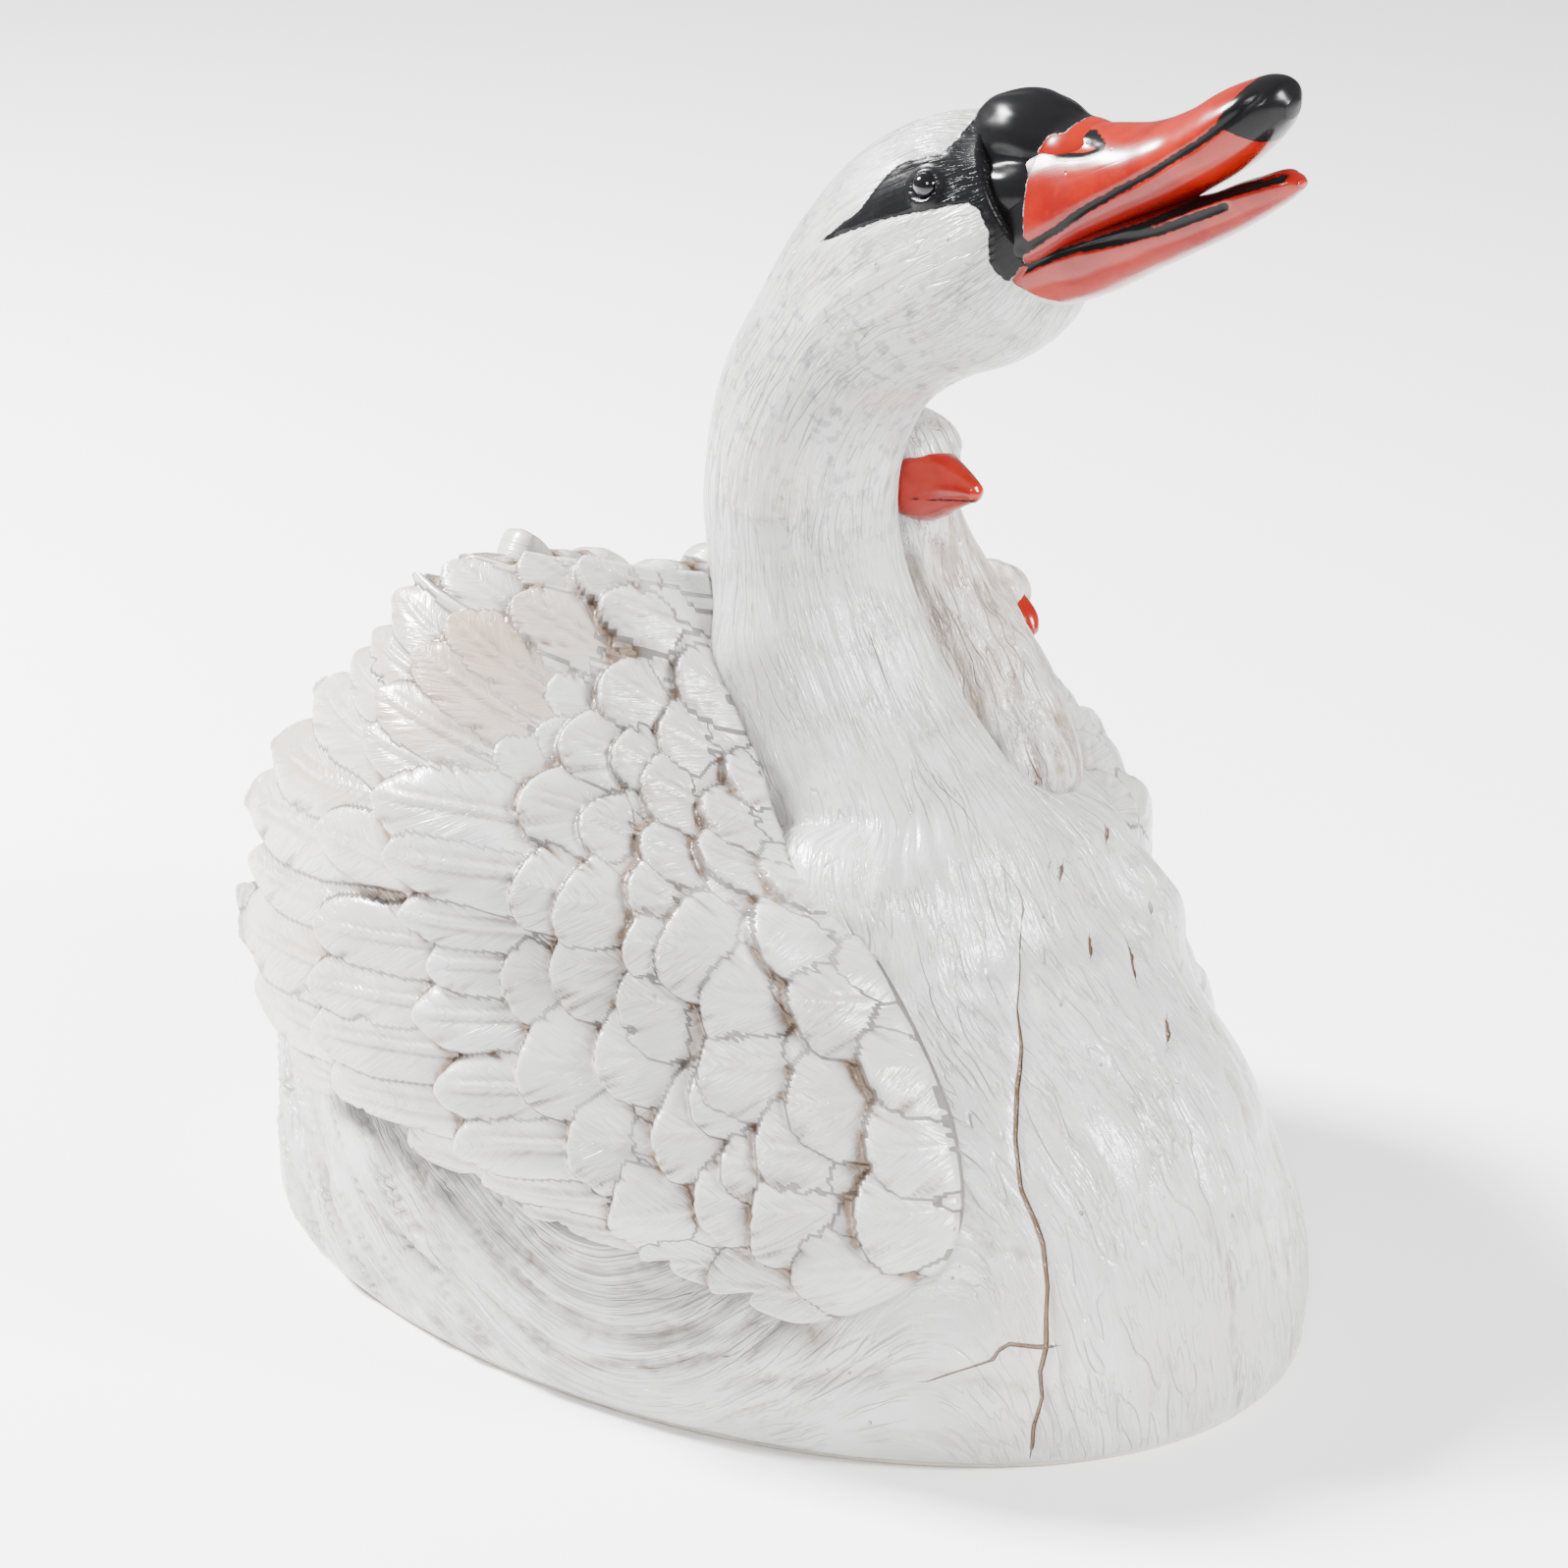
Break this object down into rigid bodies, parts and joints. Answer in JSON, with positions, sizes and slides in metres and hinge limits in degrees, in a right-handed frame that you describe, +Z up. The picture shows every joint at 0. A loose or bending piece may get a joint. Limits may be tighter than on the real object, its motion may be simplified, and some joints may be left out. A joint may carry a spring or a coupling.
{
  "type": "swan decoy",
  "caption": "Painted cast swan afloat with a raised neck and open bill, cygnets riding between half-lifted feathered wings, solid to a flat underside.",
  "frame": {"origin": "centre of the flat underside, which the swan rests on", "axes": "+X towards the bill, +Y to the swan's left, +Z up"},
  "size_m": [0.2535, 0.1784, 0.2645],
  "materials": {
    "white_paint": "satin pearly white paint over cast resin, washed with brown in the hollows",
    "bill_paint": "glossy orange-red paint",
    "black_paint": "glossy black paint"
  },
  "bodies": {
    "root": {"swan": "white_paint"}
  },
  "joints": []
}
